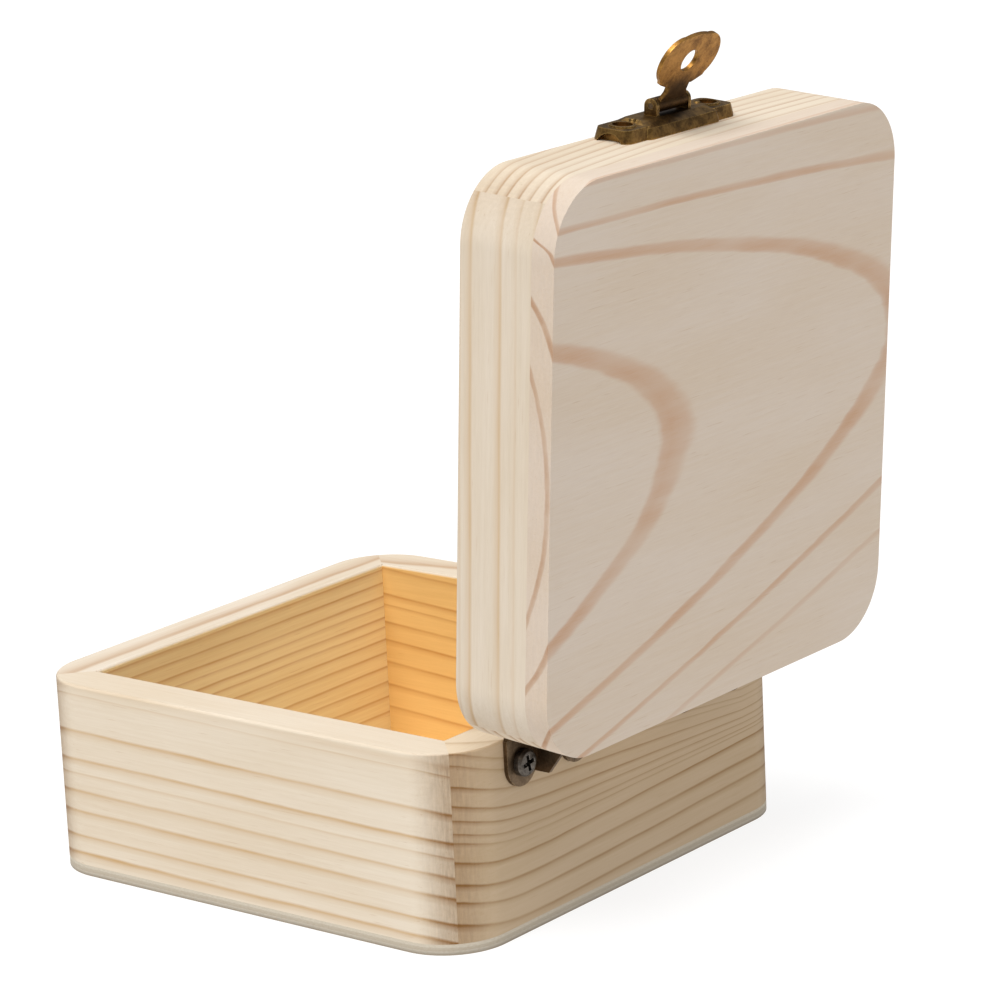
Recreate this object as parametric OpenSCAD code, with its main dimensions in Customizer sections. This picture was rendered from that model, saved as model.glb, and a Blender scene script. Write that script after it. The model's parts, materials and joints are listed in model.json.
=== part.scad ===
// Square pine keepsake box with a hinged lid, two stop hinges and a hasp latch.
// Units are millimetres. Origin: centre of the underside of the base panel.
// +X is the right side seen from the front, +Y is the hinge side, +Z is up.
// The lid is drawn open, resting on the hinge stops; the hasp is swung up.

/* [Box] */
// outside width, left to right
box_w = 100; // [80:1:160]
// outside depth, front to back
box_d = 100; // [80:1:160]
// height of the box without its lid, base panel included
box_h = 36.7; // [25:0.1:80]
// thickness of the side boards
wall_t = 9; // [6:0.5:14]
// thickness of the plywood base panel
base_t = 2; // [1.5:0.1:5]
// radius of the rounded outside corners
corner_r = 12; // [2:0.5:20]

/* [Lid] */
// depth of the four lid frame boards
lid_frame_h = 15; // [8:0.5:30]
// thickness of the lid's top panel
lid_panel_t = 4.6; // [3:0.1:10]
// gap between the closed lid and the rim of the box
lid_gap = 0.3; // [0.1:0.1:1]
// angle the lid is turned open from closed
lid_open = 94.3; // [80:0.1:110]

/* [Hinges] */
// distance of each hinge's middle from the box's middle
hinge_x = 24; // [18:0.1:34]
// length of a hinge along its pin
hinge_w = 23.9; // [20:0.1:30]
// thickness of the leaf metal
leaf_t = 0.8; // [0.6:0.1:1.2]
// distance from the pin's axis to the wood behind the leaf
pin_off = 1.45; // [1.3:0.05:2.5]
// height of the pin's axis above the rim of the box
pin_rise = 1.15; // [1.1:0.05:2]
// outside radius of the hinge barrel
barrel_r = 1.15; // [1:0.05:1.3]
// radius of the hinge pin
pin_r = 0.55; // [0.4:0.05:0.6]
// distance from the pin's axis to the end of a leaf lobe
leaf_reach = 10.5; // [9:0.1:14]
// half width of the slot between the two lobes of a leaf
slot_half = 3.7; // [2.5:0.1:4]
// distance from the pin's axis to the screws
screw_d = 6.1; // [5.5:0.05:9]
// radius of a screw head
screw_head_r = 2.5; // [1.8:0.1:2.8]
// height of a screw head above the leaf
screw_head_h = 1.5; // [1:0.1:2.5]
// radius of a screw's shank
screw_r = 1; // [0.8:0.1:1.4]
// length of a screw's shank, from the leaf's back face
screw_len = 6.5; // [4:0.5:8]

/* [Latch] */
// length of the latch base along the lid's front edge
latch_len = 32; // [28:0.5:40]
// width of the latch base in its middle
latch_w = 9; // [8:0.1:12]
// height of the latch base above the wood
latch_h = 2.85; // [2.6:0.05:2.9]
// distance from the lid's lower rim to the middle line of the latch base
latch_n = 4.9; // [4.5:0.1:8]
// distance from the lid's lower rim to the hasp's pivot
pivot_n = 5.4; // [5:0.1:6]
// height of the hasp's pivot above the wood
pivot_h = 4.5; // [4.5:0.1:5.5]
// outside radius of the hasp's knuckle
knuckle_r = 1.35; // [1:0.05:1.35]
// radius of the hasp's pin
hasp_pin_r = 0.5; // [0.4:0.05:0.6]
// half length of the hasp's knuckle
knuckle_half = 4.1; // [3:0.1:5]
// thickness of the hasp metal
hasp_t = 0.8; // [0.6:0.1:1.2]
// distance from the pivot's axis out to the middle of the hasp metal
hasp_off = 0.4; // [0:0.1:0.8]
// length of the hasp from its pivot to its tip
hasp_len = 14.1; // [12:0.1:18]
// distance from the pivot to the hasp's hole
hole_d = 8.8; // [7:0.1:11]
// radius of the hasp's hole
hole_r = 2.1; // [1.9:0.1:2.5]
// angle the hasp is turned up from lying over the keeper
hasp_open = 114.5; // [0:0.1:180]
// length of the keeper plate
keeper_len = 29; // [24:0.5:34]
// height of the keeper plate
keeper_w = 5.6; // [4.6:0.1:6]
// thickness of the keeper plate
keeper_t = 1.2; // [0.8:0.1:2]
// radius of the keeper's stud
stud_r = 1.2; // [1.1:0.1:1.4]
// height of the keeper's stud above the wood
stud_h = 5.8; // [5.6:0.1:7]
// distance of a nail from the middle, on the base and on the keeper
nail_x = 12.2; // [10:0.1:13]
// radius of a nail head
nail_head_r = 1.3; // [1:0.1:1.6]
// radius of a nail's shank
nail_r = 0.6; // [0.4:0.1:0.8]
// length of a nail below the wood's face
nail_len = 6; // [4:0.5:8]

/* [Hidden] */
$fn = 64;
facets = 32;
eps = 0.01;
// running fits and the fit of a shank in its hole
fit = 0.05;
// clearance between two knuckles, and between stops that meet
knuckle_gap = 0.2;
stop_gap = 0.05;
wood = [0.86, 0.74, 0.56];
ply = [0.72, 0.64, 0.5];
bronze = [0.33, 0.28, 0.22];
brass = [0.55, 0.44, 0.24];
steel = [0.55, 0.54, 0.52];
lid_z = box_h + lid_gap;
axis_y = box_d / 2 + pin_off;
axis_z = box_h + pin_rise;
front_y = -box_d / 2;
half_w = hinge_w / 2;
lobe_r = (half_w - slot_half) / 2;
lobe_mid = (half_w + slot_half) / 2;
leaf_top = 1.5;
slot_top = 5;
barrel_cut = hinge_w / 5;
// depth of the web that joins a knuckle to its leaf, and how far the pin stops short of the ends
web_d = 0.4;
pin_inset = 0.1;
// clearance round a screw in its leaf, and how far its hole runs past its tip
screw_slack = 0.15;
hole_past = 0.3;
// stop flange: from the pin's axis to where its sloping end starts and stops, its foot, its reach
stop_near = 3.45;
stop_far = 5.15;
stop_foot = 8.95;
stop_out = 1.85;
// screw head: its bevel, and the cross recess with its turn
head_bevel = 0.5;
head_taper = 0.45;
recess_len = 2.9;
recess_w = 0.72;
recess_deep = 1.1;
recess_turn = 12;
tip_h = 0.4;
tip_gap = 0.2;
knuckles = [for (i = [0:4]) -half_w + i * barrel_cut];
bisect = tan((180 - lid_open) / 2);
// the stud stands a little below the middle of the hasp's hole, the nails a little lower
stud_z = lid_z + pivot_n - hole_d - 0.6;
keeper_z = stud_z - 0.2;
// nail head, domed; the rivet end of the stud, the hole sunk for it behind the keeper plate
nail_dome = 0.35;
rivet_r = 1.4;
rivet_h = 0.9;
rivet_room_r = 1.6;
rivet_room_h = 1.6;
rivet_neck_r = 1;
stud_dome = 0.6;
stud_taper = 0.5;
// latch base: its upright foot, the middle block, its corners, its shoulder and its flat top
foot_h = 0.4;
block_len = 21;
block_corner = 1.2;
shoulder_h = latch_h - 0.9;
shoulder_len = block_len - 0.6;
shoulder_w = latch_w - 0.9;
crown_len = block_len - 3;
crown_w = latch_w - 4;
// hollow pressed into the back of the middle block
hollow_len = 18;
hollow_w = 6;
hollow_h = latch_h - 0.8;
// end lobes with their corner radius and draft, and the arch cut in each end
lobe_h = latch_h - 0.6;
lobe_half = 3.9;
lobe_corner = 1.8;
arch_half = 2.6;
arch_h = 1.5;
arch_depth = 1.4;
arch_r = (arch_half * arch_half + arch_h * arch_h) / (2 * arch_h);
draft = 0.2;
lobe_root = 8;
lobe_root_len = 1;
// raised ring round a nail with its sunk seat, and the small bump beside the middle block
ring_h = 0.3;
ring_r = 2.8;
ring_top_r = 2.3;
seat_slack = 0.5;
recess_d = 0.6;
bump_x = 9.3;
bump_h = 0.8;
bump_r = 0.9;
bump_top_r = 0.5;
ear_sink = 0.7;
ear_t = 0.7;
ear_gap = 0.15;
// hasp: neck, shoulders, the two round cheeks beside the hole and the wide round tip
neck_half = 3.9;
waist_half = 2.9;
waist_from = 2.6;
waist_to = 4.2;
cheek_x = 3.5;
cheek_d = 9.1;
cheek_r = 4.6;
tip_r = 13;

// ---------- placing ----------

// turns a lid piece, drawn closed, to its open place
module lid_place() {
  translate([0, axis_y, axis_z]) rotate([-lid_open, 0, 0])
    translate([0, -axis_y, -axis_z]) children();
}

// turns the hasp, drawn lying over the keeper, up about its pivot
module hasp_place() {
  translate([0, front_y - pivot_h, lid_z + pivot_n]) rotate([-hasp_open, 0, 0])
    translate([0, -front_y + pivot_h, -lid_z - pivot_n]) children();
}

// puts hardware drawn flat (x, up the face, out of the face) on the front at height z
module on_front(z) {
  translate([0, front_y, z]) rotate([90, 0, 0]) children();
}

// extrudes a y-z outline from x0 to x1
module along_x(x0, x1) {
  translate([x0, 0, 0]) rotate([90, 0, 90]) linear_extrude(x1 - x0) children();
}

// ---------- wood ----------

module footprint() {
  square([box_w - 2 * corner_r, box_d], center = true);
  square([box_w, box_d - 2 * corner_r], center = true);
  for (sx = [-1, 1], sy = [-1, 1])
    translate([sx * (box_w / 2 - corner_r), sy * (box_d / 2 - corner_r)]) circle(corner_r);
}

// outline of a mitred side board; side is -1 for left and 1 for right
module side_outline(side) {
  intersection() {
    footprint();
    polygon([
      [side * box_w / 2, -box_d / 2],
      [side * box_w / 2, box_d / 2],
      [side * (box_w / 2 - wall_t), box_d / 2 - wall_t],
      [side * (box_w / 2 - wall_t), -box_d / 2 + wall_t]
    ]);
  }
}

// outline of a mitred end board; end is -1 for front and 1 for back
module end_outline(end) {
  intersection() {
    footprint();
    polygon([
      [-box_w / 2, end * box_d / 2],
      [box_w / 2, end * box_d / 2],
      [box_w / 2 - wall_t, end * (box_d / 2 - wall_t)],
      [-box_w / 2 + wall_t, end * (box_d / 2 - wall_t)]
    ]);
  }
}

module box_side(side) {
  translate([0, 0, base_t]) linear_extrude(box_h - base_t) side_outline(side);
}

module lid_side(side) {
  lid_place() translate([0, 0, lid_z]) linear_extrude(lid_frame_h) side_outline(side);
}

module side_board_left() { color(wood) box_side(-1); }
module side_board_right() { color(wood) box_side(1); }
module lid_board_left() { color(wood) lid_side(-1); }
module lid_board_right() { color(wood) lid_side(1); }

module base_panel() { color(ply) linear_extrude(base_t) footprint(); }

module front_board() {
  color(wood) difference() {
    translate([0, 0, base_t]) linear_extrude(box_h - base_t) end_outline(-1);
    on_front(keeper_z) for (sx = [-1, 1]) translate([sx * nail_x, 0, 0]) nail_hole();
    on_front(stud_z) rivet_hole();
  }
}

module back_board() {
  color(wood) difference() {
    translate([0, 0, base_t]) linear_extrude(box_h - base_t) end_outline(1);
    for (hx = [-hinge_x, hinge_x]) at_hinge(hx) screw_holes();
  }
}

module lid_board_front() {
  color(wood) lid_place() difference() {
    translate([0, 0, lid_z]) linear_extrude(lid_frame_h) end_outline(-1);
    on_front(lid_z + latch_n) for (sx = [-1, 1]) translate([sx * nail_x, 0, 0]) nail_hole();
  }
}

module lid_board_back() {
  color(wood) lid_place() difference() {
    translate([0, 0, lid_z]) linear_extrude(lid_frame_h) end_outline(1);
    for (hx = [-hinge_x, hinge_x]) at_hinge(hx) mirror([0, 0, 1]) screw_holes();
  }
}

module lid_panel() {
  color(wood) lid_place() translate([0, 0, lid_z + lid_frame_h])
    linear_extrude(lid_panel_t) footprint();
}

// ---------- hinges ----------
// A hinge is drawn with its pin's axis on X. The leaf hangs down, wood behind it.

module at_hinge(hx) { translate([hx, axis_y, axis_z]) children(); }

module screw_holes() {
  for (sx = [-1, 1]) translate([sx * lobe_mid, -pin_off + eps, -screw_d])
    rotate([90, 0, 0]) cylinder(h = screw_len + hole_past, r = screw_r + fit);
}

module leaf_outline() {
  translate([-half_w, -slot_top]) square([hinge_w, slot_top - leaf_top]);
  for (sx = [-1, 1]) {
    translate([sx * lobe_mid - lobe_r, -leaf_reach + lobe_r])
      square([2 * lobe_r, leaf_reach - lobe_r - leaf_top]);
    translate([sx * lobe_mid, -leaf_reach + lobe_r]) circle(lobe_r);
  }
}

// flat leaf with its two lobes, its folded stop flange and the knuckles listed
module leaf(own) {
  difference() {
    union() {
      difference() {
        translate([0, -pin_off + leaf_t, 0]) rotate([90, 0, 0])
          linear_extrude(leaf_t) leaf_outline();
        for (sx = [-1, 1]) translate([sx * lobe_mid, -pin_off + leaf_t + eps, -screw_d])
          rotate([90, 0, 0]) cylinder(h = leaf_t + 2 * eps, r = screw_r + screw_slack);
      }
      along_x(slot_half - leaf_t, slot_half) stop_outline();
      for (i = own) along_x(knuckles[i] + knuckle_gap / 2, knuckles[i] + barrel_cut - knuckle_gap / 2) {
        circle(barrel_r);
        polygon([
          [-pin_off, -leaf_top - web_d],
          [-pin_off, -leaf_top],
          [-barrel_r, 0],
          [0, -pin_r],
          [-pin_off + leaf_t, -leaf_top],
          [-pin_off + leaf_t, -leaf_top - web_d]
        ]);
      }
    }
    along_x(-half_w - 1, half_w + 1) circle(pin_r + fit);
  }
}

// y-z outline of the stop flange; its sloping end meets the other leaf's at full opening
module stop_outline() {
  polygon([
    [-pin_off + eps, -stop_foot],
    [stop_out, -stop_foot],
    [bisect * stop_far - stop_gap, -stop_far],
    [bisect * stop_near - stop_gap, -stop_near],
    [-pin_off + eps, -stop_near]
  ]);
}

module hinge_pin(hx) {
  at_hinge(hx) along_x(-half_w + pin_inset, half_w - pin_inset) circle(pin_r);
}

// two cross-recess screws, heads proud of the leaf
module leaf_screws() {
  for (sx = [-1, 1]) translate([sx * lobe_mid, -pin_off + leaf_t, -screw_d]) rotate([-90, 0, 0])
    difference() {
      union() {
        cylinder(h = screw_head_h - head_bevel, r = screw_head_r);
        translate([0, 0, screw_head_h - head_bevel])
          cylinder(h = head_bevel, r1 = screw_head_r, r2 = screw_head_r - head_taper);
        translate([0, 0, -screw_len]) cylinder(h = screw_len, r = screw_r);
        translate([0, 0, -screw_len - tip_gap])
          cylinder(h = tip_h, r1 = screw_r * tip_h, r2 = screw_r);
      }
      for (a = [0, 90]) rotate([0, 0, a + recess_turn])
        translate([-recess_len / 2, -recess_w / 2, screw_head_h - recess_deep])
          cube([recess_len, recess_w, recess_deep + 0.1]);
    }
}

module box_leaf(hx) { color(bronze) at_hinge(hx) leaf([0, 2, 4]); }
module lid_leaf(hx) { color(bronze) lid_place() at_hinge(hx) mirror([0, 0, 1]) leaf([1, 3]); }
module box_screws(hx) { color(steel) at_hinge(hx) leaf_screws(); }
module lid_screws(hx) { color(steel) lid_place() at_hinge(hx) mirror([0, 0, 1]) leaf_screws(); }

module hinge_left_box_leaf() { box_leaf(-hinge_x); }
module hinge_left_lid_leaf() { lid_leaf(-hinge_x); }
module hinge_left_pin() { color(steel) hinge_pin(-hinge_x); }
module hinge_left_box_screws() { box_screws(-hinge_x); }
module hinge_left_lid_screws() { lid_screws(-hinge_x); }
module hinge_right_box_leaf() { box_leaf(hinge_x); }
module hinge_right_lid_leaf() { lid_leaf(hinge_x); }
module hinge_right_pin() { color(steel) hinge_pin(hinge_x); }
module hinge_right_box_screws() { box_screws(hinge_x); }
module hinge_right_lid_screws() { lid_screws(hinge_x); }

// ---------- latch ----------
// Hardware is drawn flat: X along it, Y up the box's face, Z out of the wood.

module nail_hole() {
  translate([0, 0, -nail_len - hole_past]) cylinder(h = nail_len + hole_past + eps, r = nail_r + fit);
}

module rivet_hole() {
  translate([0, 0, -rivet_room_h]) cylinder(h = rivet_room_h + eps, r = rivet_room_r);
}

module nail(z) {
  translate([0, 0, -nail_len]) cylinder(h = nail_len + z, r = nail_r);
  translate([0, 0, z]) cylinder(h = nail_dome, r1 = nail_head_r, r2 = nail_head_r - nail_dome);
}

module plan(len, w, r) {
  for (sx = [-1, 1], sy = [-1, 1])
    translate([sx * (len / 2 - r), sy * (w / 2 - r), 0]) circle(r, $fn = facets);
}

// middle of the latch base, with sloping sides and a domed top
module middle_block() {
  hull() {
    linear_extrude(foot_h) plan(block_len, latch_w, block_corner);
    linear_extrude(shoulder_h) plan(shoulder_len, shoulder_w, block_corner);
    linear_extrude(latch_h) plan(crown_len, crown_w, block_corner);
  }
}

// end lobe of the latch base, lower than the middle, its sides sloping in
module end_lobe(sx) {
  hull() {
    for (sy = [-1, 1]) {
      translate([sx * (latch_len / 2 - lobe_corner), sy * (lobe_half - lobe_corner), 0])
        cylinder(h = foot_h, r = lobe_corner, $fn = facets);
      translate([sx * (latch_len / 2 - lobe_corner - draft), sy * (lobe_half - lobe_corner - draft), 0])
        cylinder(h = lobe_h, r = lobe_corner - draft, $fn = facets);
    }
    translate([sx * lobe_root, 0, 0]) linear_extrude(foot_h)
      square([lobe_root_len, 2 * lobe_half], center = true);
    translate([sx * lobe_root, 0, 0]) linear_extrude(lobe_h)
      square([lobe_root_len, 2 * (lobe_half - 2 * draft)], center = true);
  }
}

// one of the two ears that carry the hasp's pin, its inner face at x = 0
module ear() {
  difference() {
    union() {
      along_x(0, ear_t) translate([pivot_n - latch_n, pivot_h]) circle(knuckle_r);
      translate([0, pivot_n - latch_n - knuckle_r, latch_h - ear_sink])
        cube([ear_t, 2 * knuckle_r, pivot_h - latch_h + ear_sink]);
    }
    along_x(-1, ear_t + 1) translate([pivot_n - latch_n, pivot_h]) circle(hasp_pin_r + fit);
  }
}

module latch_base() {
  color(brass) lid_place() on_front(lid_z + latch_n) {
    difference() {
      union() {
        middle_block();
        for (sx = [-1, 1]) {
          end_lobe(sx);
          translate([sx * nail_x, 0, 0]) cylinder(h = lobe_h + ring_h, r1 = ring_r, r2 = ring_top_r);
          translate([sx * bump_x, 0, lobe_h]) cylinder(h = bump_h, r1 = bump_r, r2 = bump_top_r);
        }
      }
      translate([-hollow_len / 2, -hollow_w / 2, -eps]) cube([hollow_len, hollow_w, hollow_h]);
      for (sx = [-1, 1]) {
        translate([sx * nail_x, 0, -eps]) cylinder(h = latch_h + 1, r = nail_r + fit);
        translate([sx * nail_x, 0, lobe_h - recess_d]) cylinder(h = 2, r = nail_head_r + seat_slack);
        translate([sx * (latch_len / 2 - arch_depth), 0, arch_h - arch_r])
          rotate([0, sx * 90, 0]) cylinder(h = arch_depth + 1, r = arch_r);
      }
    }
    translate([knuckle_half + ear_gap, 0, 0]) ear();
    mirror([1, 0, 0]) translate([knuckle_half + ear_gap, 0, 0]) ear();
  }
}

module latch_base_nails() {
  color(brass) lid_place() on_front(lid_z + latch_n)
    for (sx = [-1, 1]) translate([sx * nail_x, 0, 0]) nail(lobe_h - recess_d);
}

module latch_pin() {
  color(bronze) lid_place() on_front(lid_z + pivot_n)
    along_x(-knuckle_half - ear_gap - ear_t, knuckle_half + ear_gap + ear_t)
      translate([0, pivot_h]) circle(hasp_pin_r);
}

// outline of the hasp below its pivot
module hasp_outline() {
  difference() {
    union() {
      for (sx = [-1, 1]) {
        polygon([
          [0, 0], [sx * neck_half, 0], [sx * neck_half, -0.9],
          [sx * waist_half, -waist_from], [sx * waist_half, -waist_to], [0, -waist_to]
        ]);
        polygon([
          [0, -3.9], [sx * cheek_x, -3.9], [sx * 6.1, -4.9],
          [sx * (cheek_x + cheek_r), -cheek_d], [sx * cheek_x, 0.5 - hasp_len], [0, 0.5 - hasp_len]
        ]);
        translate([sx * cheek_x, -cheek_d]) circle(cheek_r);
      }
      intersection() {
        translate([0, tip_r - hasp_len]) circle(tip_r);
        translate([-cheek_x, -hasp_len - 1]) square([2 * cheek_x, 6]);
      }
    }
    translate([0, -hole_d]) circle(hole_r);
  }
}

module latch_hasp() {
  color(brass) lid_place() hasp_place() on_front(lid_z + pivot_n) translate([0, 0, pivot_h])
    difference() {
      union() {
        along_x(-knuckle_half, knuckle_half) circle(knuckle_r);
        translate([0, 0, hasp_off - hasp_t / 2]) linear_extrude(hasp_t) hasp_outline();
      }
      along_x(-knuckle_half - 1, knuckle_half + 1) circle(hasp_pin_r + fit);
    }
}

module keeper_plate() {
  color(brass) difference() {
    on_front(keeper_z) {
      linear_extrude(keeper_t) {
        square([keeper_len - keeper_w, keeper_w], center = true);
        for (sx = [-1, 1]) translate([sx * (keeper_len - keeper_w) / 2, 0]) circle(keeper_w / 2);
      }
    }
    on_front(keeper_z) for (sx = [-1, 1]) translate([sx * nail_x, 0, -eps])
      cylinder(h = keeper_t + 1, r = nail_r + fit);
    on_front(stud_z) translate([0, 0, -eps]) cylinder(h = keeper_t + 1, r = rivet_neck_r + fit);
  }
}

// stud riveted through the keeper plate, with a domed top
module keeper_stud() {
  color(brass) on_front(stud_z) {
    translate([0, 0, -rivet_h]) cylinder(h = rivet_h, r = rivet_r);
    cylinder(h = keeper_t, r = rivet_neck_r);
    translate([0, 0, keeper_t]) cylinder(h = stud_h - keeper_t - stud_dome, r = stud_r);
    translate([0, 0, stud_h - stud_dome]) cylinder(h = stud_dome, r1 = stud_r, r2 = stud_r - stud_taper);
  }
}

module keeper_nails() {
  color(brass) on_front(keeper_z)
    for (sx = [-1, 1]) translate([sx * nail_x, 0, 0]) nail(keeper_t);
}

side_board_left();
side_board_right();
front_board();
back_board();
base_panel();
lid_board_left();
lid_board_right();
lid_board_front();
lid_board_back();
lid_panel();
hinge_left_box_leaf();
hinge_left_lid_leaf();
hinge_left_pin();
hinge_left_box_screws();
hinge_left_lid_screws();
hinge_right_box_leaf();
hinge_right_lid_leaf();
hinge_right_pin();
hinge_right_box_screws();
hinge_right_lid_screws();
latch_base();
latch_base_nails();
latch_pin();
latch_hasp();
keeper_plate();
keeper_stud();
keeper_nails();
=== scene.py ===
import json
import math
import random

import bpy
from mathutils import Matrix, Vector


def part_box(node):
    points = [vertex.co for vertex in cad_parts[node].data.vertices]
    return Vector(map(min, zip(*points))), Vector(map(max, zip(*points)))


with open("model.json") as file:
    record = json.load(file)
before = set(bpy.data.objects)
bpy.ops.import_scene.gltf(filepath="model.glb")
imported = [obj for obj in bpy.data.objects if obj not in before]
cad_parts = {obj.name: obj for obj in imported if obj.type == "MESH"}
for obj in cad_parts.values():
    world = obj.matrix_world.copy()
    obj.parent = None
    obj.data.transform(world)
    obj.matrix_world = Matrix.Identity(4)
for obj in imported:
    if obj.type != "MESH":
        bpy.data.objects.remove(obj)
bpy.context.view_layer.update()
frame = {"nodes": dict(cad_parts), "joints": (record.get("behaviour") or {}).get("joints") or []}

# Lengths are in mm, unless a comment says metres. MM turns them into Blender's metres.
MM = 0.001
X, Y, Z = Vector((1, 0, 0)), Vector((0, 1, 0)), Vector((0, 0, 1))

# ---------- the frame's own places ----------
nodes = frame["nodes"]
joints = {j["name"]: j for j in frame["joints"]}
LID_ANGLE = math.radians(joints["lid_hinge"]["range_deg"][1])
LID_AXIS = Vector(joints["lid_hinge"]["pos_m"]) / MM
HASP_PIVOT = Vector(joints["hasp_hinge"]["pos_m"]) / MM
base_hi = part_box("base_panel")[1] / MM
HALF = base_hi.x
BASE_T = base_hi.z
BOX_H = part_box("side_board_right")[1].z / MM
WALL = HALF - abs(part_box("side_board_right")[0].x / MM)
INNER = HALF - WALL
CORNER_R = 12.0
LID_GAP = 0.3


def lid_open(p):
    """A point of the closed lid, where it is at rest."""
    return Matrix.Rotation(-LID_ANGLE, 3, "X") @ (Vector(p) - LID_AXIS) + LID_AXIS


# the open lid's own axes: U runs from its hinge edge to its front edge, V out through its panel
LID_O = lid_open((0, HALF, BOX_H + LID_GAP))
LID_U = (lid_open((0, 0, 0)) - lid_open((0, 1, 0))).normalized()
LID_V = (lid_open((0, 0, 1)) - lid_open((0, 0, 0))).normalized()


def lid_local(p):
    r = p - LID_O
    return Vector((r.x, r.dot(LID_U), r.dot(LID_V)))


LID_H = round(max(lid_local(v.co / MM).z for v in nodes["lid_panel"].data.vertices), 2)


# ---------- building materials ----------
def srgb(r, g, b):
    out = []
    for v in (r, g, b):
        v /= 255
        out.append(v / 12.92 if v <= 0.04045 else ((v + 0.055) / 1.055) ** 2.4)
    return (*out, 1.0)


class Tree:
    """A node tree, with a short word for each kind of node that the materials use."""

    def __init__(self, tree):
        self.tree = tree
        tree.nodes.clear()

    def add(self, kind, **props):
        node = self.tree.nodes.new(kind)
        for name, value in props.items():
            setattr(node, name, value)
        return node

    def put(self, value, socket):
        if isinstance(value, bpy.types.NodeSocket):
            self.tree.links.new(value, socket)
        else:
            socket.default_value = value

    def calc(self, op, a, b=0.0, c=0.0, clamp=False):
        node = self.add("ShaderNodeMath", operation=op, use_clamp=clamp)
        for i, value in enumerate((a, b, c)):
            self.put(value, node.inputs[i])
        return node.outputs[0]

    def plus(self, a, b):
        return self.calc("ADD", a, b)

    def minus(self, a, b):
        return self.calc("SUBTRACT", a, b)

    def times(self, a, b, clamp=False):
        return self.calc("MULTIPLY", a, b, clamp=clamp)

    def times_plus(self, a, b, c):
        return self.calc("MULTIPLY_ADD", a, b, c)

    def absolute(self, a):
        return self.calc("ABSOLUTE", a)

    def vector(self, op, a, b=(0, 0, 0), out=0):
        node = self.add("ShaderNodeVectorMath", operation=op)
        self.put(a, node.inputs[0])
        self.put(b, node.inputs[1])
        return node.outputs[out]

    def dot(self, a, b):
        return self.vector("DOT_PRODUCT", a, tuple(b) if isinstance(b, Vector) else b, 1)

    def noise(self, place, scale, detail=2.0, rough=0.5, distort=0.0):
        """Noise that changes along each axis of place as fast as its scale says."""
        node = self.add("ShaderNodeTexNoise")
        self.put(self.vector("MULTIPLY", place, scale), node.inputs["Vector"])
        node.inputs["Scale"].default_value = 1.0
        node.inputs["Detail"].default_value = detail
        node.inputs["Roughness"].default_value = rough
        node.inputs["Distortion"].default_value = distort
        return node.outputs["Fac"]

    def remap(self, x, a, b, c=0.0, d=1.0, smooth=False):
        kind = "SMOOTHSTEP" if smooth else "LINEAR"
        node = self.add("ShaderNodeMapRange", interpolation_type=kind)
        for i, value in enumerate((x, a, b, c, d)):
            self.put(value, node.inputs[i])
        return node.outputs[0]

    def mix(self, amount, a, b, kind="MIX"):
        node = self.add("ShaderNodeMix", data_type="RGBA", blend_type=kind)
        self.put(amount, node.inputs[0])
        self.put(a, node.inputs[6])
        self.put(b, node.inputs[7])
        return node.outputs[2]

    def ramp(self, x, stops):
        """A colour ramp. stops: (place from 0 to 1, a colour or a grey)."""
        node = self.add("ShaderNodeValToRGB")
        elements = node.color_ramp.elements
        while len(elements) > 1:
            elements.remove(elements[-1])
        for i, (place, value) in enumerate(stops):
            e = elements[0] if i == 0 else elements.new(place)
            e.position = place
            e.color = value if isinstance(value, tuple) else (value, value, value, 1.0)
        self.put(x, node.inputs[0])
        return node.outputs[0]

    def millimetres(self, coordinates):
        return self.vector("MULTIPLY", coordinates.outputs["Object"], (1 / MM,) * 3)

    def surface(self, color, rough, height, metallic=0.0, bump=0.2, bump_mm=0.1, spec=0.4):
        """Ends the tree: a Principled surface with a little relief."""
        shader = self.add("ShaderNodeBsdfPrincipled")
        self.put(color, shader.inputs["Base Color"])
        self.put(rough, shader.inputs["Roughness"])
        shader.inputs["Metallic"].default_value = metallic
        shader.inputs["Specular IOR Level"].default_value = spec
        relief = self.add("ShaderNodeBump")
        relief.inputs["Strength"].default_value = bump
        relief.inputs["Distance"].default_value = bump_mm * MM
        self.put(height, relief.inputs["Height"])
        self.put(relief.outputs[0], shader.inputs["Normal"])
        self.put(shader.outputs[0], self.add("ShaderNodeOutputMaterial").inputs[0])


def material(name):
    mat = bpy.data.materials.new(name)
    mat.use_nodes = True
    return mat, Tree(mat.node_tree)


# ---------- pine ----------
EARLY = srgb(225, 211, 191)
EARLY_2 = srgb(217, 200, 176)
PALEST = srgb(240, 228, 208)
RESIN = srgb(186, 150, 108)
LATE = srgb(176, 128, 78)
GOLDEN = srgb(192, 150, 90)
END_LINE = srgb(124, 80, 26)
SAWN, SAWN_2 = srgb(166, 146, 126), srgb(212, 196, 178)

# painted light and shade: brighter, warmer tints of the boards' inner faces, standing in for the
# light bounced inside the box, and a darker tint of the back plank's own face, painted shade from
# the lid's overhang
INSIDE_GLOW = (1.28, 1.2, 0.84, 1.0)
INSIDE_GLOW_LEFT = (1.22, 0.87, 0.32, 1.0)
BACK_FACE_SHADE = (0.76, 0.7, 0.63, 1.0)

# how dark a growth line is across its width: slow rise, sharp end; and a wide, even band
LINE = ((-1.0, 0.0), (-0.35, 0.4), (0.0, 1.0), (0.28, 0.0))
BAND = ((-0.6, 0.0), (-0.35, 0.7), (0.1, 1.0), (0.35, 0.85), (0.5, 0.0))
LINES_PER_RAMP = 6

# noise scales per mm: along the grain, across the plank's face, into the plank
BEND = (0.014, 0.05, 0.05)
WAVER = (0.07, 0.35, 0.35)
PATCH = (0.035, 0.22, 0.22)
TONE = (0.018, 0.06, 0.06)
FIBRE = (0.05, 1.7, 1.7)
FINE = (0.22, 7.0, 7.0)
FLECK = (0.16, 4.5, 4.5)
SAW = (2.2, 0.3, 2.2)
SEED_STEP = (37.0, 11.0, 17.0)


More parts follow.
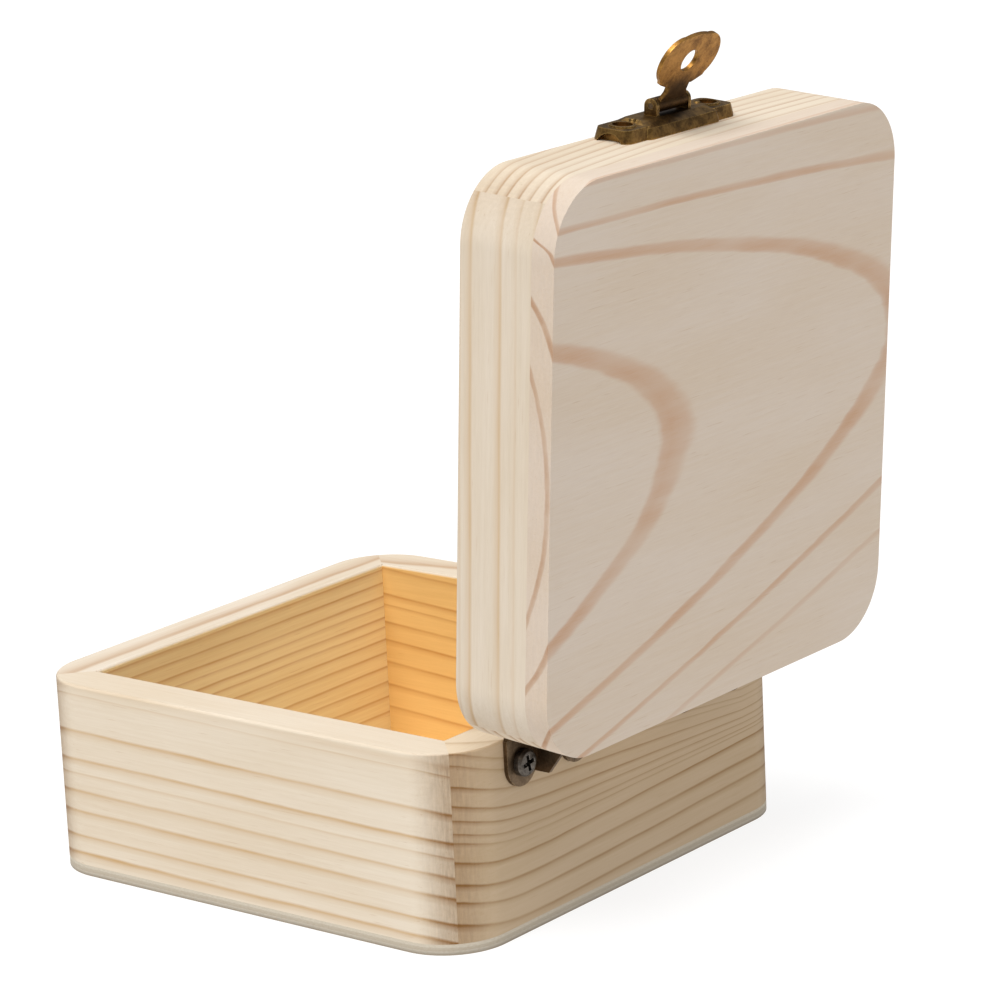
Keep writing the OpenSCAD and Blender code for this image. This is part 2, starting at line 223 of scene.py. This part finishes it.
def ring_amount(t, f, rings, profile):
    """Dark growth lines. rings: (place, strength, width), all in mm of the field f."""
    total = None
    rings = sorted(rings)
    for k in range(0, len(rings), LINES_PER_RAMP):
        part = rings[k : k + LINES_PER_RAMP]
        lo = part[0][0] - part[0][2] * 2 - 1
        hi = part[-1][0] + part[-1][2] * 2 + 1
        stops = [(0.0, 0.0)]
        for place, strength, width in part:
            for step, dark in profile:
                stops.append(((place + step * width - lo) / (hi - lo), dark * strength))
        lines = t.ramp(t.remap(f, lo, hi), sorted(stops))
        total = lines if total is None else t.calc("MAXIMUM", total, lines)
    return total


def sway(t, place, scale, detail, reach):
    """Noise around zero, up to reach mm to either side."""
    return t.times(t.minus(t.noise(place, scale, detail), 0.5), reach * 2)


def pale_wood(t, place, fibre, fine, early, early2):
    """The wood between the growth lines, in two tones, with short resin flecks."""
    tone = t.plus(t.times(t.noise(place, TONE), 0.6), t.times(fibre, 0.4))
    color = t.mix(t.remap(tone, 0.38, 0.62), early, early2)
    color = t.mix(t.remap(fine, 0.35, 0.8, 0.0, 0.22), color, PALEST)
    fleck = t.remap(t.noise(place, FLECK, 1.0), 0.70, 0.80, 0.0, 0.35)
    return t.mix(fleck, color, RESIN)


def paint_inside_glow(t, color, pos, tint):
    """Painted light: tints only what faces the box's room, brighter and warmer, standing in for the
    light bounced inside it.
    """
    reach = t.calc("MAXIMUM", t.absolute(t.dot(pos, X)), t.absolute(t.dot(pos, Y)))
    return t.mix(t.remap(reach, INNER - 0.02, INNER + 0.1, 1.0, 0.0), color, tint, "MULTIPLY")


def pine(name, origin, axes, field, rings, warp=0.8, wobble=0.25, early=EARLY, early2=EARLY_2,
         late=LATE, profile=LINE, inside_glow=None, face_shade=None, endgrain=0.75, seed=0):
    """Pine cut from one plank. axes: along the grain, across the plank's face, into the plank.
    The tint of what faces the box's room is painted light, brighter and warmer; the tint of the
    plank's own face is painted shade."""
    mat, t = material(name)
    coordinates = t.add("ShaderNodeTexCoord")
    pos = t.millimetres(coordinates)
    rel = t.vector("SUBTRACT", pos, tuple(origin))
    parts = [t.dot(rel, axis) for axis in axes]
    plank = t.add("ShaderNodeCombineXYZ")
    for part, socket in zip(parts, plank.inputs):
        t.put(part, socket)
    place = t.vector("ADD", plank.outputs[0], tuple(seed * step for step in SEED_STEP))

    # growth lines
    f = t.plus(field(t, *parts), sway(t, place, BEND, 1.5, warp))
    f = t.plus(f, sway(t, place, WAVER, 3.0, wobble))
    fibre = t.noise(place, FIBRE, 3.0, 0.6)
    fine = t.noise(place, FINE, 2.0, 0.6)
    lines = ring_amount(t, f, rings, profile)
    lines = t.times(lines, t.remap(t.noise(place, PATCH), 0.3, 0.7, 0.6, 1.1))
    lines = t.times(lines, t.remap(fine, 0.3, 0.7, 0.82, 1.08))
    color = t.mix(lines, pale_wood(t, place, fibre, fine, early, early2), late)
    # painted shade: the plank's own flat faces made darker, as under the lid's overhang
    if face_shade:
        flat = t.absolute(t.dot(coordinates.outputs["Normal"], axes[2]))
        color = t.mix(t.remap(flat, 0.15, 0.6, smooth=True), color, face_shade, "MULTIPLY")

    # end grain, where the surface turns across the fibres
    across = t.absolute(t.dot(coordinates.outputs["Normal"], axes[0]))
    cut = t.remap(across, 0.12, 0.85, 0.0, endgrain, smooth=True)
    saw = t.noise(place, SAW, 3.0, 0.7)
    color = t.mix(cut, color, t.mix(t.remap(saw, 0.3, 0.7), SAWN, SAWN_2), "MULTIPLY")
    color = t.mix(t.times(t.times(cut, lines), 1.7, clamp=True), color, END_LINE)
    # painted light: the faces inside the box made brighter and warmer
    if inside_glow:
        own = face_shade or (1.0, 1.0, 1.0, 1.0)
        color = paint_inside_glow(t, color, pos, tuple(a / b for a, b in zip(inside_glow, own)))

    height = t.plus(t.times(fibre, 0.5), t.times(fine, 0.35))
    height = t.plus(t.times(lines, 0.5), height)
    height = t.plus(height, t.times(t.times(saw, cut), 0.8))
    rough = t.remap(t.minus(fine, t.times(lines, 0.4)), 0.0, 0.8, 0.58, 0.78)
    t.surface(color, rough, height, bump=0.35, bump_mm=0.06, spec=0.25)
    return mat


def straight(slope=0.35, tilt=0.0, bow=0.0):
    """Lines along the grain that lean into the board, tilt along it and bow a little."""

    def field(t, g, p, q):
        f = t.times_plus(q, slope, p)
        f = t.times_plus(g, tilt, f)
        return t.times_plus(t.times(g, g), bow, f)

    return field


def sagging(t, g, p, q):
    """The back board's lines: steep near the +X corner, then a sag, then slowly apart."""
    near = t.calc("MAXIMUM", t.calc("DIVIDE", t.minus(g, 26.0), 25.0), 0.0)
    climb = t.times(t.calc("POWER", near, 3.2), 6.0)
    far = t.calc("MAXIMUM", t.calc("DIVIDE", t.minus(24.0, g), 70.0), 0.0)
    z = t.minus(t.times_plus(q, 0.3, p), t.plus(climb, t.times(far, 2.6)))
    # above this height the lines draw together towards -X
    level = 14.6
    upper = t.calc("MAXIMUM", t.minus(z, level), 0.0)
    squeeze = t.remap(g, -35.0, 45.0, 0.42, 1.0)
    return t.plus(t.calc("MINIMUM", z, level), t.calc("DIVIDE", upper, squeeze))


def nested_loops(t, g, p, q):
    """The lid panel's flat-sawn loops, which open towards +X."""
    middle = t.times_plus(t.minus(HALF, g), 0.1, 47.5)
    w = t.minus(p, middle)
    f = t.minus(g, t.times(t.times(w, w), 1 / 16.0))
    # the innermost loop opens wider than the others
    inner = t.remap(f, -28.0, -2.0, smooth=True)
    wider = t.times(t.calc("MAXIMUM", t.minus(g, 15.0), 0.0), 0.25)
    # the outermost loop is skewed on the side away from the hinges
    outer = t.times(t.remap(f, -58.0, -75.0, smooth=True), t.remap(w, -3.0, 3.0))
    skew = t.times_plus(g, -0.33, -9.0)
    f = t.times_plus(inner, wider, f)
    f = t.times_plus(outer, skew, f)
    # a line moves this many mm of the field for each mm into the panel
    return t.times_plus(q, 7.7, f)


def even_rings(lo, hi, step, spread, seed):
    draw = random.Random(seed)
    out, at = [], lo
    while at < hi:
        out.append((round(at, 2), draw.uniform(0.45, 0.9), draw.uniform(0.9, 1.6)))
        at += step * draw.uniform(1 - spread, 1 + spread)
    return out


# the four boards of the box, their lines counted up from the table
mats = {}
mats["side_board_right"] = pine(
    "pine_side_right", X * HALF, (Y, Z, -X), straight(0.4, 0.013),
    [(3.8, 0.9, 1.7), (7.2, 0.75, 1.4), (12.1, 0.75, 1.6), (16.0, 0.7, 1.4), (19.5, 0.4, 0.8),
     (22.2, 0.85, 1.4), (27.4, 0.8, 1.5), (34.4, 0.35, 0.7), (36.0, 0.2, 2.4)],
    warp=0.5, wobble=0.22, late=GOLDEN, inside_glow=INSIDE_GLOW, endgrain=0.9, seed=1)
mats["back_board"] = pine(
    "pine_back", Y * HALF, (X, Z, -Y), sagging,
    [(3.2, 0.8, 1.3), (7.2, 0.8, 1.1), (10.5, 0.85, 1.2), (14.6, 0.9, 1.1), (18.2, 0.5, 0.8),
     (19.9, 0.6, 0.8), (22.4, 0.6, 0.9), (25.0, 0.7, 1.0), (28.6, 0.7, 1.0), (32.4, 0.45, 0.8),
     (34.6, 0.5, 0.9), (38.0, 0.5, 0.9), (41.5, 0.6, 1.0), (46.0, 0.5, 1.0)],
    warp=0.5, wobble=0.2, early=srgb(228, 209, 182), early2=srgb(220, 199, 168),
    late=srgb(164, 122, 56), inside_glow=INSIDE_GLOW, face_shade=BACK_FACE_SHADE, seed=2)
mats["front_board"] = pine(
    "pine_front", -Y * INNER, (X, Z, -Y), straight(-0.3),
    [(6.2, 0.7, 1.2), (9.5, 0.7, 1.1), (12.6, 0.7, 1.0), (15.6, 0.7, 1.1), (18.6, 0.75, 1.0),
     (21.3, 0.7, 0.9), (23.8, 0.6, 0.8), (25.7, 0.7, 1.0), (28.0, 0.6, 0.8), (30.0, 0.75, 1.0),
     (32.8, 0.7, 0.9), (35.5, 0.7, 1.0)],
    warp=0.4, wobble=0.2, early=srgb(228, 216, 200), inside_glow=INSIDE_GLOW, seed=3)
mats["side_board_left"] = pine(
    "pine_side_left", -X * INNER, (Y, Z, -X), straight(-0.3, 0.06),
    [(5.0, 0.7, 1.3), (9.6, 0.75, 1.3), (14.2, 0.7, 1.2), (18.6, 0.75, 1.2), (22.4, 0.7, 1.1),
     (26.0, 0.55, 0.8), (28.2, 0.75, 1.2), (33.6, 0.7, 1.2), (37.5, 0.7, 1.2)],
    warp=0.4, wobble=0.2, inside_glow=INSIDE_GLOW_LEFT, seed=4)

# the lid's frame, its lines counted from the rim towards the panel
mats["lid_board_right"] = pine(
    "pine_lid_right", LID_O + X * HALF, (LID_U, LID_V, -X), straight(0.3, 0.008),
    [(1.0, 0.3, 1.0), (3.2, 0.6, 1.7), (9.4, 0.6, 1.6), (12.6, 0.25, 1.2), (16.2, 0.3, 1.0)],
    warp=0.4, wobble=0.15, early=srgb(219, 205, 187), early2=srgb(211, 195, 173),
    late=GOLDEN, endgrain=0.25, seed=5)
mats["lid_board_front"] = pine(
    "pine_lid_front", LID_O + LID_U * 2 * HALF, (X, LID_V, -LID_U), straight(0.2, -0.05, -0.0012),
    [(-1.6, 0.5, 0.9), (0.6, 0.6, 1.0), (2.8, 0.6, 1.0), (5.4, 0.65, 1.1), (7.6, 0.55, 0.9),
     (10.0, 0.6, 1.0), (12.2, 0.5, 0.9), (15.0, 0.5, 1.0)],
    warp=0.4, wobble=0.12, endgrain=0.3, seed=6)
mats["lid_board_left"] = pine(
    "pine_lid_left", LID_O - X * HALF, (LID_U, LID_V, X), straight(0.35, 0.01),
    even_rings(-3, 20, 3.2, 0.3, 21), warp=0.6, endgrain=0.3, seed=7)
mats["lid_board_back"] = pine(
    "pine_lid_back", LID_O, (X, LID_V, LID_U), straight(0.3, -0.01, 0.0006),
    even_rings(-3, 20, 3.0, 0.3, 22), warp=0.6, endgrain=0.3, seed=8)
mats["lid_panel"] = pine(
    "pine_lid_panel", LID_O + LID_V * LID_H, (X, LID_U, -LID_V), nested_loops,
    [(-146.0, 0.45, 7.0), (-104.0, 0.75, 7.0), (-53.0, 0.85, 9.0), (16.5, 0.8, 11.0),
     (64.0, 0.6, 8.0)],
    warp=3.5, wobble=1.6, early=srgb(219, 203, 187), early2=srgb(215, 196, 175),
    late=srgb(200, 156, 122), profile=BAND, endgrain=0.2, seed=9)

# ---------- plywood ----------
# the panel's edge from its underside up: darker at the underside, then three plies
PLIES = [
    (0.0, srgb(112, 100, 84)), (0.14, srgb(160, 150, 134)), (0.36, srgb(196, 187, 171)),
    (0.42, srgb(184, 173, 155)), (0.66, srgb(192, 181, 162)), (0.72, srgb(206, 197, 180)),
    (0.92, srgb(208, 197, 178)), (1.0, srgb(176, 158, 132)),
]
SHEET, SHEET_2 = srgb(238, 217, 176), srgb(230, 204, 158)
PORE = srgb(150, 122, 88)


def plywood(name):
    """Three thin plies, their edges showing as bands that waver a little."""
    mat, t = material(name)
    coordinates = t.add("ShaderNodeTexCoord")
    pos = t.millimetres(coordinates)
    waver = 0.25
    z = t.plus(t.dot(pos, Z), t.times(t.noise(pos, (0.08, 0.08, 1.0)), waver))
    edge = t.ramp(t.calc("DIVIDE", z, BASE_T + waver), PLIES)
    grain = t.noise(pos, (0.05, 1.4, 1.4), 3.0, 0.6)
    fine = t.noise(pos, (1.5, 1.5, 6.0), 3.0, 0.6)
    sheet = t.mix(t.remap(grain, 0.35, 0.65), SHEET, SHEET_2)
    level = t.remap(t.absolute(t.dot(coordinates.outputs["Normal"], Z)), 0.5, 0.9)
    color = t.mix(level, edge, sheet)
    color = t.mix(t.remap(fine, 0.4, 0.75, 0.0, 0.3), color, PORE)
    rough = t.remap(fine, 0.2, 0.8, 0.6, 0.8)
    t.surface(color, rough, t.plus(grain, fine), bump=0.3, bump_mm=0.05)
    return mat


mats["base_panel"] = plywood("plywood_base")

# ---------- metals ----------
# the colour of the darkening near the hasp's pivot
NEAR_PIVOT_DARK = srgb(46, 32, 18)
EDGE_R = 0.25


def metal(name, dark, mid, bright, patina=0.5, rough=0.4, scale=0.8, edge_wear_and_shine=0.6, seed=0, pivot_darkening=None):
    """Plated metal: a patina in patches, brighter on its edges, partly from wear and partly a
    painted highlight, with fine scratches.
    The darkening near the pivot: near and far distance from the hasp's pivot, darkest up to near,
    unchanged from far on."""
    mat, t = material(name)
    coordinates = t.add("ShaderNodeTexCoord")
    pos = t.millimetres(coordinates)
    place = t.vector("ADD", pos, (seed * 13.0,) * 3)
    blot = t.noise(place, (0.55 * scale,) * 3, 4.0, 0.6, 0.4)
    speck = t.noise(place, (3.0 * scale,) * 3, 3.0, 0.6)
    scratch = t.noise(place, (9.0, 0.8, 9.0))
    patches = t.plus(t.times(blot, 0.7), t.times(speck, 0.3))
    color = t.mix(t.remap(patches, patina - 0.12, patina + 0.12), dark, mid)

    # the edges made brighter: partly worn metal, partly a painted highlight
    bevel = t.add("ShaderNodeBevel", samples=4)
    bevel.inputs["Radius"].default_value = EDGE_R * MM
    flat = t.add("ShaderNodeNewGeometry").outputs["Normal"]
    edge = t.remap(t.minus(1.0, t.dot(bevel.outputs[0], flat)), 0.01, 0.12)
    edge = t.times(edge, t.remap(speck, 0.35, 0.6, 0.3, 1.0))
    color = t.mix(t.times(edge, edge_wear_and_shine), color, bright)

    # darker near the hasp's pivot
    if pivot_darkening:
        reach = t.vector("DISTANCE", pos, tuple(HASP_PIVOT), 1)
        reach = t.times_plus(t.minus(blot, 0.5), 4.0, reach)
        black = t.remap(reach, *pivot_darkening, 0.85, 0.0, smooth=True)
        color = t.mix(black, color, NEAR_PIVOT_DARK)

    height = t.plus(t.times(speck, 0.6), t.times(scratch, 0.4))
    roughness = t.remap(patches, 0.3, 0.7, rough + 0.12, rough - 0.05)
    t.surface(color, roughness, height, metallic=1.0, bump=0.25, bump_mm=0.04, spec=0.5)
    return mat


bronze = metal("antique_bronze", srgb(82, 66, 49), srgb(118, 98, 76), srgb(166, 140, 104),
               rough=0.42, seed=1)
base_brass = metal("antique_brass_base", srgb(92, 70, 40), srgb(160, 126, 74), srgb(230, 190, 116),
                   rough=0.38, edge_wear_and_shine=1.0, seed=2, pivot_darkening=(2.0, 7.0))
hasp_brass = metal("antique_brass_hasp", srgb(118, 80, 38), srgb(176, 130, 66), srgb(206, 164, 92),
                   patina=0.47, rough=0.42, scale=0.9, edge_wear_and_shine=0.4, seed=3, pivot_darkening=(3.0, 8.5))
screw_steel = metal("screw_steel", srgb(66, 60, 54), srgb(116, 109, 101), srgb(182, 176, 168),
                    scale=1.2, seed=4)
nail_brass = metal("nail_brass", srgb(110, 74, 42), srgb(168, 128, 74), srgb(214, 172, 104),
                   scale=1.2, seed=5)

for side in ("left", "right"):
    for piece in ("box_leaf", "lid_leaf"):
        mats[f"hinge_{side}_{piece}"] = bronze
    for piece in ("pin", "box_screws", "lid_screws"):
        mats[f"hinge_{side}_{piece}"] = screw_steel
for piece in ("latch_base", "keeper_plate", "keeper_stud"):
    mats[piece] = base_brass
for piece in ("latch_base_nails", "keeper_nails"):
    mats[piece] = nail_brass
mats["latch_pin"] = bronze
mats["latch_hasp"] = hasp_brass

# ---------- rounded arrises ----------
CREASE = math.radians(30)
HARDWARE_CREASE = math.radians(40)
BOARD_ARRIS = 0.45
PANEL_ARRIS = 0.4
BASE_ARRIS = 0.25
METAL_ARRIS = 0.1
NEAR = 0.02
ROUND_NEAR = 0.06
LEVEL_NEAR = 0.01


def mark_sharp(mesh):
    """Keeps the edges between two flat faces crisp once the split corners are merged."""
    places = [tuple(v.co) for v in mesh.vertices]
    around = {}
    for poly in mesh.polygons:
        for a, b in poly.edge_keys:
            around.setdefault(frozenset((places[a], places[b])), []).append(poly.normal.copy())
    for old in ("custom_normal", "sharp_edge"):
        if old in mesh.attributes:
            mesh.attributes.remove(mesh.attributes[old])
    sharp = mesh.attributes.new("sharp_edge", "BOOLEAN", "EDGE")
    limit = math.cos(CREASE)
    for edge in mesh.edges:
        a, b = edge.vertices
        normals = around[frozenset((places[a], places[b]))]
        sharp.data[edge.index].value = any(normals[0].dot(n) < limit for n in normals[1:])


def mark_arris(mesh, on_arris):
    """Marks for rounding the edges whose two ends and middle pass the test."""
    weight = mesh.attributes.new("bevel_weight_edge", "FLOAT", "EDGE")
    places = [v.co / MM for v in mesh.vertices]
    for edge in mesh.edges:
        a, b = (places[i] for i in edge.vertices)
        if on_arris(a) and on_arris(b) and on_arris((a + b) / 2):
            weight.data[edge.index].value = 1.0


def soften(obj, width, on_arris=None):
    """Merges the mesh's split corners and rounds its arrises: the marked ones, or all."""
    if on_arris:
        mark_arris(obj.data, on_arris)
    mark_sharp(obj.data)
    for poly in obj.data.polygons:
        poly.use_smooth = True
    weld = obj.modifiers.new("weld", "WELD")
    weld.merge_threshold = 0.002 * MM
    bevel = obj.modifiers.new("arris", "BEVEL")
    bevel.width = width * MM
    bevel.segments = 3
    bevel.harden_normals = True
    bevel.use_clamp_overlap = True
    if on_arris:
        bevel.limit_method = "WEIGHT"
    else:
        bevel.limit_method = "ANGLE"
        bevel.angle_limit = HARDWARE_CREASE
    normals = obj.modifiers.new("normals", "WEIGHTED_NORMAL")
    normals.keep_sharp = True


def on_outline(x, y):
    """True on the box's rounded outline and on the inner square of its frame."""
    far, near = max(abs(x), abs(y)), min(abs(x), abs(y))
    if abs(far - INNER) < NEAR and near < INNER + NEAR:
        return True
    middle = HALF - CORNER_R
    if near > middle:
        return abs(math.hypot(far - middle, near - middle) - CORNER_R) < ROUND_NEAR
    return abs(far - HALF) < NEAR


def box_arris(height):
    return lambda p: abs(p.z - height) < LEVEL_NEAR and on_outline(p.x, p.y)


def lid_arris(height):
    def on_arris(p):
        q = lid_local(p)
        return abs(q.z - height) < LEVEL_NEAR and on_outline(q.x, q.y - HALF)

    return on_arris


for name, obj in nodes.items():
    obj.data.materials.clear()
    obj.data.materials.append(mats[name])
    if name == "base_panel":
        soften(obj, BASE_ARRIS, box_arris(0.0))
    elif name == "lid_panel":
        soften(obj, PANEL_ARRIS, lid_arris(LID_H))
    elif name.startswith("lid_board"):
        soften(obj, BOARD_ARRIS, lid_arris(0.0))
    elif "board" in name:
        soften(obj, BOARD_ARRIS, box_arris(BOX_H))
    else:
        soften(obj, METAL_ARRIS)

# ---------- floor ----------
FLOOR_SIZE = 12  # metres
FLOOR_DROP = 0.1
FLOOR_GLOW = 0.84
PAPER = (3.0, 3.0, 3.0)  # noise scale per metre

bpy.ops.mesh.primitive_plane_add(size=FLOOR_SIZE, location=(0, 0, -FLOOR_DROP * MM))
floor = bpy.context.object
floor.name = "floor"
mat, t = material("floor_paper")
paper = t.noise(t.add("ShaderNodeTexCoord").outputs["Object"], PAPER, 3.0)
shader = t.add("ShaderNodeBsdfPrincipled")
t.put(t.mix(t.remap(paper, 0.3, 0.7), srgb(126, 126, 126), srgb(132, 132, 132)),
      shader.inputs["Base Color"])
shader.inputs["Roughness"].default_value = 0.9
shader.inputs["Specular IOR Level"].default_value = 0.1
shader.inputs["Emission Color"].default_value = (1, 1, 1, 1)
shader.inputs["Emission Strength"].default_value = FLOOR_GLOW
t.put(shader.outputs[0], t.add("ShaderNodeOutputMaterial").inputs[0])
floor.data.materials.append(mat)

# ---------- light: a soft dome, a little brighter on one side, and a broad key ----------
BRIGHT_SIDE = Vector((0.9, -0.4, 0.2)).normalized()
KEY_FROM = Vector((0.39, 0.06, 0.9))
KEY_ENERGY = 2.6
KEY_ANGLE = math.radians(40)

world = bpy.data.worlds.new("studio")
bpy.context.scene.world = world
world.use_nodes = True
t = Tree(world.node_tree)
direction = t.add("ShaderNodeTexCoord").outputs["Generated"]
high = t.remap(t.dot(direction, Z), 0.0, 1.0, 0.07, 0.6, smooth=True)
side = t.remap(t.dot(direction, BRIGHT_SIDE), -0.6, 0.9, 0.0, 0.08, smooth=True)
background = t.add("ShaderNodeBackground")
background.inputs["Color"].default_value = (1, 1, 1, 1)
t.put(t.plus(high, side), background.inputs["Strength"])
t.put(background.outputs[0], t.add("ShaderNodeOutputWorld").inputs[0])

sun = bpy.data.lights.new("key", "SUN")
sun.energy = KEY_ENERGY
sun.angle = KEY_ANGLE
key = bpy.data.objects.new("key", sun)
bpy.context.scene.collection.objects.link(key)
key.rotation_mode = "QUATERNION"
key.rotation_quaternion = KEY_FROM.to_track_quat("Z", "Y")

# ---------- camera: azimuth counted from the front (-Y) towards +X, roll about its view ----------
AZIMUTH = math.radians(128.878)
ELEVATION = math.radians(14.717)
ROLL = math.radians(-2.784)
DISTANCE = 795.0
AIM = Vector((-11.27, 13.91, 63.89))
LENS = 155.386
SENSOR = 36
CLIP_START, CLIP_END = 0.05, 50  # metres

cam_data = bpy.data.cameras.new("camera")
cam = bpy.data.objects.new("camera", cam_data)
bpy.context.scene.collection.objects.link(cam)
bpy.context.scene.camera = cam
level = math.cos(ELEVATION)
away = Vector((math.sin(AZIMUTH) * level, -math.cos(AZIMUTH) * level, math.sin(ELEVATION)))
cam.location = (AIM + away * DISTANCE) * MM
cam.rotation_mode = "QUATERNION"
look = (-away).to_track_quat("-Z", "Y")
cam.rotation_quaternion = look @ Matrix.Rotation(ROLL, 3, "Z").to_quaternion()
cam_data.sensor_width = SENSOR
cam_data.lens = LENS
cam_data.clip_start, cam_data.clip_end = CLIP_START, CLIP_END

bpy.context.scene.view_settings.view_transform = "Standard"
bpy.context.scene.view_settings.look = "None"
